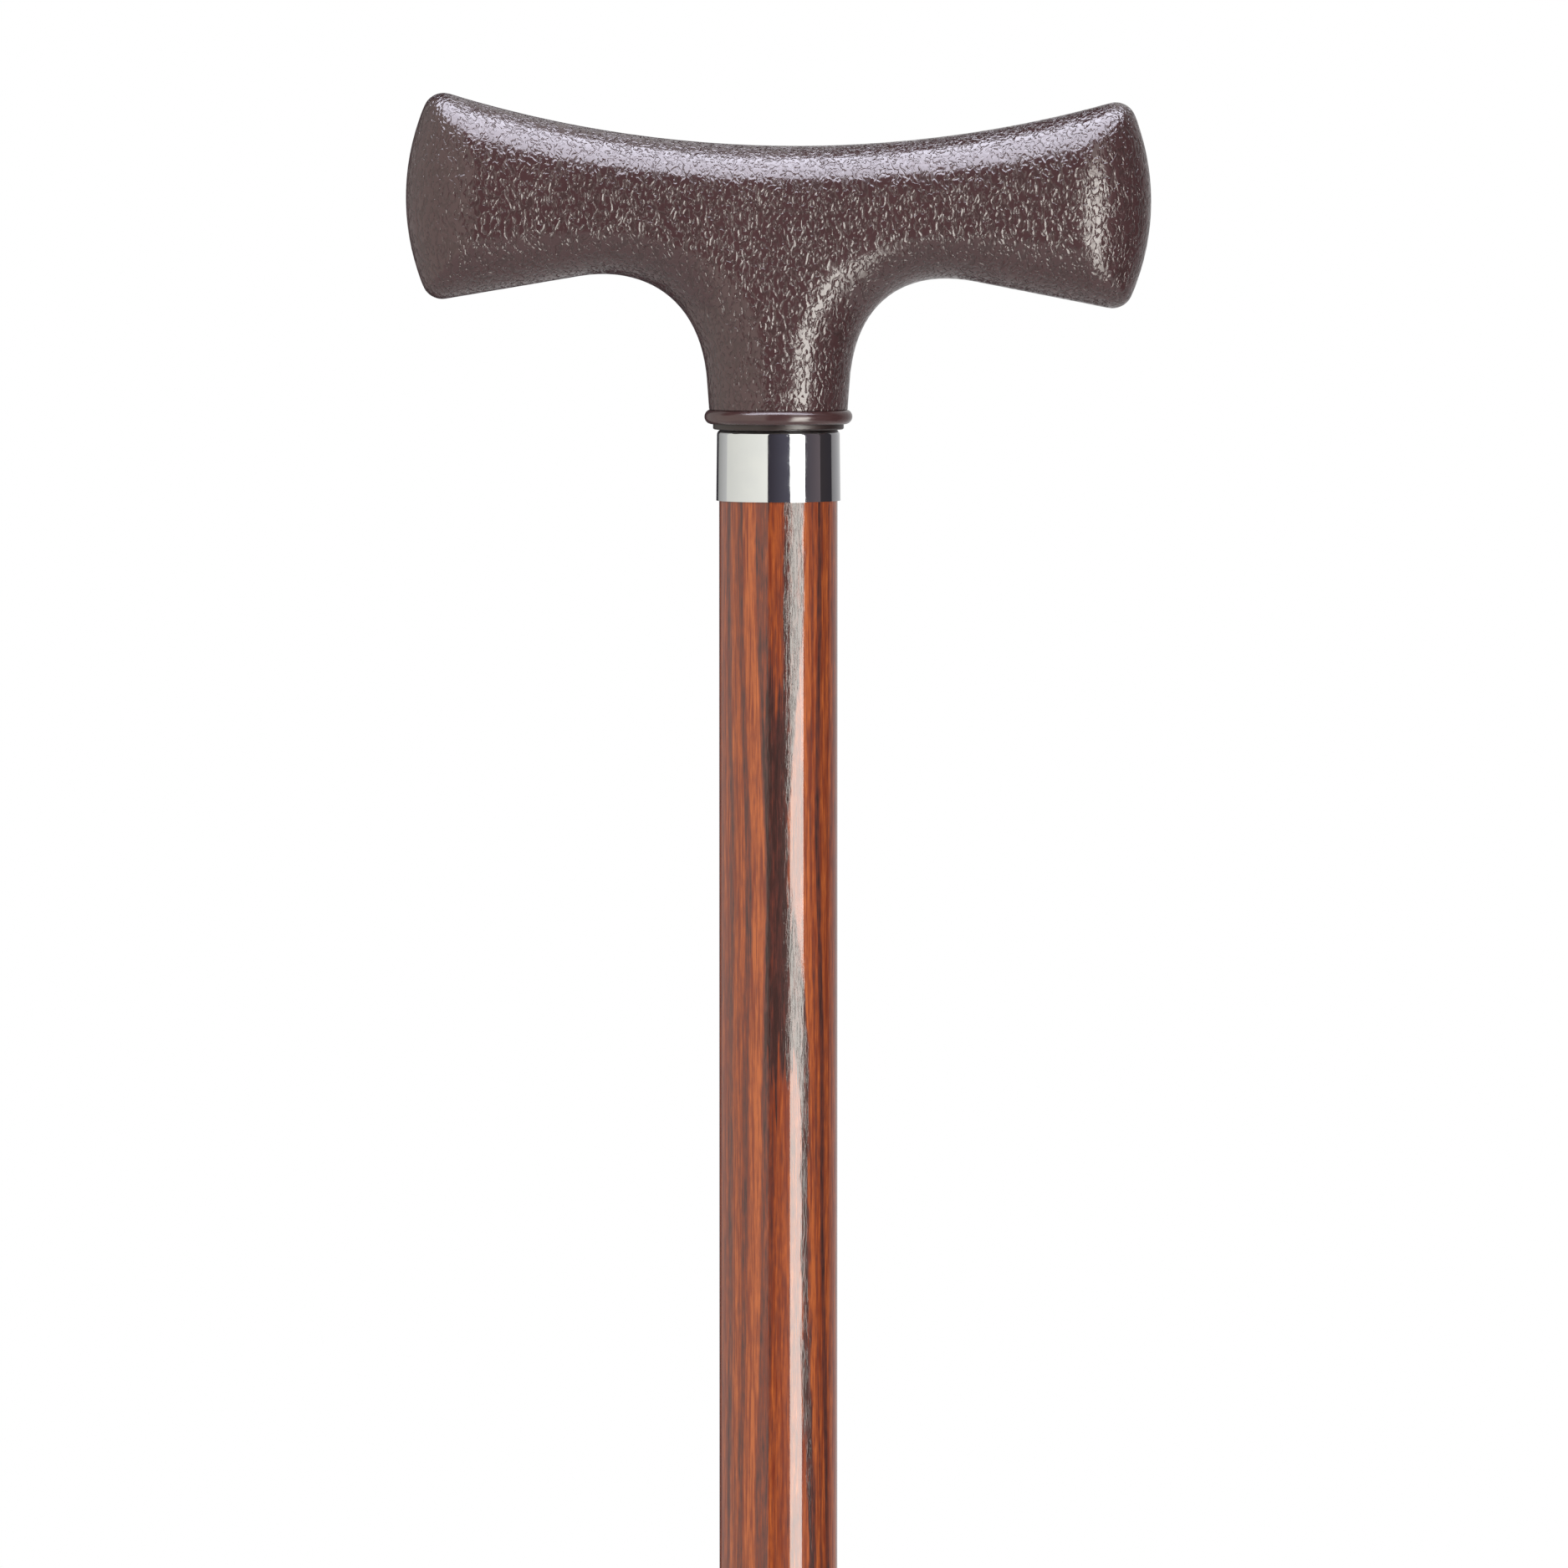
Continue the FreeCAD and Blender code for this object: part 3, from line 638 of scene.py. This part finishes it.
def porous_layer(tree, places):
    """1 in the porous layer, 0 elsewhere, and how far right of its middle a place is, in mm."""
    x, z = (add(tree, "SeparateXYZ", {0: places}, output=axis) for axis in ("X", "Z"))
    middle = follow(tree, z, POROUS_MIDDLE, 0.0, 8.0, smooth=True)
    half = follow(tree, z, POROUS_HALF, 0.0, 2.0, smooth=True)
    fine = fibre_noise(tree, places, (1.3, 1.3, 0.12), 2.0)
    fine = add(tree, "MapRange", {"Value": fine, "From Min": 0.3, "From Max": 0.7, "To Min": -POROUS_WIGGLE,
                                  "To Max": POROUS_WIGGLE})
    off = add(tree, "Math", {0: x, 1: middle}, operation="SUBTRACT")
    off = add(tree, "Math", {0: off, 1: fine}, operation="ADD")
    away = add(tree, "Math", {0: off}, operation="ABSOLUTE")
    past = add(tree, "Math", {0: away, 1: half}, operation="SUBTRACT")
    inside = add(tree, "MapRange", {"Value": past, "From Min": POROUS_EDGE[0], "From Max": POROUS_EDGE[1],
                                    "To Min": 1.0, "To Max": 0.0})
    return only_in_front(tree, places, inside), off


def brown_stripe(tree, places):
    """1 in the brown stripe beside the porous layer."""
    x = add(tree, "SeparateXYZ", {0: places}, output="X")
    share = 1.0
    for at, edge, before, after in zip(BROWN_STRIPE, BROWN_EDGES, (0.0, 1.0), (1.0, 0.0)):
        inside = add(tree, "MapRange", {"Value": x, "From Min": at - edge, "From Max": at + edge,
                                        "To Min": before, "To Max": after})
        share = add(tree, "Math", {0: share, 1: inside}, operation="MULTIPLY")
    return only_in_front(tree, places, share)


print("the porous layer is up to", 2 * max(half for height, half in POROUS_HALF), "mm wide")

# %% [markdown]
# Left of the porous layer, a little below the handle, the surface grazes a dark layer, which shows as a long
# tongue with frayed ends. All over the rest of the stick a drawn-out noise makes tongues of its own wherever
# it is high.

# %% Tongues
TONGUE_FOOT = 735.0              # mm up the cane
TONGUE_TOP = 801.0
TONGUE_LEFT = -3.75              # mm, the depth where it starts
FRAYING = 9.0                    # mm that its ends fray
TONGUE_RATE = (0.17, 0.17, 0.010)    # per mm, of the noise that makes the other tongues
TONGUE_LEVEL = 0.6               # value of that noise at a tongue's edge
TONGUE_EDGE = 0.03               # how far the noise rises over that edge


def front_tongue(tree, places, depth, off_porous):
    """1 in the dark tongue between its layer and the porous one."""
    y, z = (add(tree, "SeparateXYZ", {0: places}, output=axis) for axis in ("Y", "Z"))
    frayed = fibre_noise(tree, places, (1.4, 1.4, 0.03), 2.0)
    frayed = add(tree, "MapRange", {"Value": frayed, "From Min": 0.3, "From Max": 0.7, "To Min": -FRAYING,
                                    "To Max": FRAYING}, clamp=False)
    z = add(tree, "Math", {0: z, 1: frayed}, operation="ADD")
    limits = (                   # (value, where it crosses the limit from and to, share before and after)
        (depth, TONGUE_LEFT - 0.15, TONGUE_LEFT + 0.15, 0.0, 1.0),
        (off_porous, -0.1, 0.1, 1.0, 0.0),
        (z, TONGUE_FOOT - 1.5, TONGUE_FOOT + 1.5, 0.0, 1.0),
        (z, TONGUE_TOP - 4.0, TONGUE_TOP + 4.0, 1.0, 0.0),
        (y, -0.1, 0.0, 1.0, 0.0))
    share = 1.0
    for value, start, end, before, after in limits:
        inside = add(tree, "MapRange", {"Value": value, "From Min": start, "From Max": end, "To Min": before,
                                        "To Max": after})
        share = add(tree, "Math", {0: share, 1: inside}, operation="MULTIPLY")
    return share


def other_tongues(tree, places):
    """1 in the tongues of the sides, the back and the lower stick."""
    value = fibre_noise(tree, places, TONGUE_RATE, 1.0)
    inside = add(tree, "MapRange", {"Value": value, "From Min": TONGUE_LEVEL,
                                    "From Max": TONGUE_LEVEL + TONGUE_EDGE})
    return add(tree, "Math", {0: inside, 1: beyond_the_front(tree, places)}, operation="MULTIPLY")


print("tongue", TONGUE_TOP - TONGUE_FOOT, "mm long")

# %% [markdown]
# Seen close, wood is streaks within streaks: broad blotches, fibres a few tenths of a millimetre wide, and
# pores, which are slits about 0.1 mm wide and a few mm long. The finest are drawn somewhat coarser than they
# are, so that they show.

# %% Streaks and pores
STREAKS = (                      # (how fast it changes per mm along x, y and z, how much darker or lighter)
    ((0.5, 0.5, 0.09), 0.08),
    ((1.5, 1.5, 0.06), 0.13),
    ((1.7, 1.7, 0.40), 0.12),
    ((4.5, 4.5, 0.16), 0.20))
PORE_RATE = (3.4, 3.4, 0.33)     # per mm along x, y and z
PORE_DEPTH = 0.012 * MM


def streaked(tree, places, dark):
    """A darkness with the streaks added."""
    for rate, swing in STREAKS:
        value = fibre_noise(tree, places, rate, 2.0)
        value = add(tree, "MapRange", {"Value": value, "From Min": 0.3, "From Max": 0.7, "To Min": -swing,
                                       "To Max": swing}, clamp=False)
        dark = add(tree, "Math", {0: dark, 1: value}, operation="ADD")
    return dark


def pore_share(tree, places):
    """1 in a pore, 0 between pores."""
    slits = fibre_noise(tree, places, PORE_RATE, 3.0, roughness=0.6)
    return add(tree, "MapRange", {"Value": slits, "From Min": 0.36, "From Max": 0.52, "To Min": 1.0,
                                  "To Max": 0.0})


print(len(STREAKS), "sizes of streak")

# %% [markdown]
# The wood is stained and lacquered. The lacquer is the coat of the shader: clear, glossy, IOR 1.5. Under it
# the wood has next to no gloss of its own, because the lacquer soaks in and there is hardly a step in IOR.
# Over porous wood the coat is thinner and follows the pores, so there its bright line turns grey and broken.

# %% Stained and lacquered hardwood
WOOD_COLOURS = (                 # (how dark the wood is, its colour)
    (0.0, "#C7662D"), (0.2, "#B15526"), (0.5, "#853F28"), (0.8, "#5C312A"), (1.0, "#422621"))
TONGUE_DARKNESS = 0.93
POROUS_DARKNESS = 0.9
BROWN_DARKNESS = 0.44            # just short of where wood counts as porous
RED_STREAK_RATE = (2.2, 2.2, 0.08)   # per mm along x, y and z


def make_lacquered_hardwood():
    """Striped hardwood, stained and sprayed with gloss lacquer."""
    material = bpy.data.materials.new("lacquered_hardwood")
    tree = blank_tree(material)
    places = millimetres(tree)
    depth = layer_depth(tree, places)
    dark = follow(tree, depth, GROWTH_LAYERS, 0.0, 1.0)
    porous, off_porous = porous_layer(tree, places)
    tongue = front_tongue(tree, places, depth, off_porous)
    tongue = add(tree, "Math", {0: tongue, 1: other_tongues(tree, places)}, operation="MAXIMUM")
    brown = brown_stripe(tree, places)
    for share, level in ((tongue, TONGUE_DARKNESS), (porous, POROUS_DARKNESS), (brown, BROWN_DARKNESS)):
        share = add(tree, "Math", {0: share, 1: level}, operation="MULTIPLY")
        dark = add(tree, "Math", {0: dark, 1: share}, operation="MAXIMUM")
    of_layer = add(tree, "MapRange", {"Value": dark, "From Min": 0.45, "From Max": 0.8, "To Max": 0.5})
    porous = add(tree, "Math", {0: porous, 1: of_layer}, operation="MAXIMUM")

    dark = streaked(tree, places, dark)
    wood = fill_ramp(add(tree, "ValToRGB", {0: dark}),
                     [(place, linear(colour)) for place, colour in WOOD_COLOURS])
    reddish = fibre_noise(tree, places, RED_STREAK_RATE, 3.0)
    reddish = add(tree, "MapRange", {"Value": reddish, "From Min": 0.48, "From Max": 0.64, "To Max": 0.75})
    clear = add(tree, "MapRange", {"Value": dark, "From Min": 0.3, "From Max": 0.65, "To Min": 1.0,
                                   "To Max": 0.1})
    reddish = add(tree, "Math", {0: reddish, 1: clear}, operation="MULTIPLY")
    wood = add(tree, "Mix", {0: reddish, 6: wood, 7: linear("#742411")}, output=2, data_type="RGBA")

    pore = add(tree, "Math", {0: pore_share(tree, places), 1: porous}, operation="MULTIPLY")
    stain = add(tree, "Math", {0: pore, 1: 0.6}, operation="MULTIPLY")
    colour = add(tree, "Mix", {0: stain, 6: wood, 7: linear("#261815")}, output=2, data_type="RGBA")
    pitted = add(tree, "Bump", {"Height": pore, "Distance": PORE_DEPTH}, invert=True)
    coat = add(tree, "MapRange", {"Value": porous, "To Min": 0.95, "To Max": 0.88})
    shader = add(tree, "BsdfPrincipled", {"Base Color": colour, "Roughness": 0.45, "IOR": 1.5,
                                          "Specular IOR Level": 0.1, "Normal": pitted, "Coat Weight": coat,
                                          "Coat Roughness": 0.05, "Coat IOR": 1.5, "Coat Normal": pitted})
    add(tree, "OutputMaterial", {"Surface": shader})
    return material


wear("shaft", make_lacquered_hardwood())

# %% [markdown]
# ## Rubber tip
#
# The tip is moulded in black natural rubber with a matt face, which greys with dust where it touches the
# ground.

# %% Rubber for the tip
DUSTY_HEIGHT = 7.0               # mm above the ground


def make_matt_rubber():
    """Moulded natural rubber, black, matt, a little dusty towards the tread."""
    material = bpy.data.materials.new("moulded_rubber")
    tree = blank_tree(material)
    places = millimetres(tree)
    z = add(tree, "SeparateXYZ", {0: places}, output="Z")
    cloud = add(tree, "TexNoise", {"Vector": places, "Scale": 0.35, "Detail": 5.0})
    patchy = add(tree, "MapRange", {"Value": cloud, "From Min": 0.35, "From Max": 0.7})
    low = add(tree, "MapRange", {"Value": z, "From Max": DUSTY_HEIGHT, "To Min": 0.5, "To Max": 0.08})
    dust = add(tree, "Math", {0: low, 1: patchy}, operation="MULTIPLY")
    black = add(tree, "Mix", {0: dust, 6: linear("#1B1918"), 7: linear("#57524C")}, output=2,
                data_type="RGBA")
    rough = add(tree, "MapRange", {"Value": cloud, "From Min": 0.3, "From Max": 0.7, "To Min": 0.52,
                                   "To Max": 0.68})
    pebble = add(tree, "TexNoise", {"Vector": places, "Scale": 3.0, "Detail": 3.0})
    pebbled = add(tree, "Bump", {"Height": pebble, "Strength": 0.5, "Distance": 0.05 * MM})
    shader = add(tree, "BsdfPrincipled", {"Base Color": black, "Roughness": rough, "IOR": 1.52,
                                          "Normal": pebbled})
    add(tree, "OutputMaterial", {"Surface": shader})
    return material


wear("rubber_tip", make_matt_rubber())

# %% [markdown]
# ## Metals inside
#
# The washer and the stud are zinc-plated steel and the insert is turned brass. They are out of sight until
# the tip is pulled off. Turning leaves fine rings round the axis, plating an even haze.

# %% Metals inside
METALS = {                       # node: (material, bright and dull colour, roughness, marks per mm)
    "joining_stud": ("zinc_plated_steel", "#C8CACC", "#A9ABAD", 0.3, (1.5, 1.5, 1.5)),
    "tip_washer": ("stamped_steel", "#BFC1C3", "#9A9C9E", 0.35, (1.2, 1.2, 1.2)),
    "insert_nut": ("turned_brass", "#D9BC7A", "#B8965A", 0.28, (0.1, 0.1, 4.0)),
}


def make_worked_metal(name, bright, dull, roughness, marks_per_mm):
    """A metal whose fine marks, so many per mm along x, y and z, run round the axis or all over."""
    material = bpy.data.materials.new(name)
    tree = blank_tree(material)
    marked = add(tree, "VectorMath", {0: millimetres(tree), 1: marks_per_mm}, operation="MULTIPLY")
    marks = add(tree, "TexNoise", {"Vector": marked, "Scale": 1.0, "Detail": 3.0})
    tint = add(tree, "Mix", {0: marks, 6: linear(bright), 7: linear(dull)}, output=2, data_type="RGBA")
    rough = add(tree, "MapRange", {"Value": marks, "From Min": 0.3, "From Max": 0.7,
                                   "To Min": roughness - 0.06, "To Max": roughness + 0.08})
    scored = add(tree, "Bump", {"Height": marks, "Strength": 0.3, "Distance": 0.01 * MM})
    shader = add(tree, "BsdfPrincipled", {"Base Color": tint, "Metallic": 1.0, "Roughness": rough,
                                          "Normal": scored})
    add(tree, "OutputMaterial", {"Surface": shader})
    return material


for node, metal in METALS.items():
    wear(node, make_worked_metal(*metal))
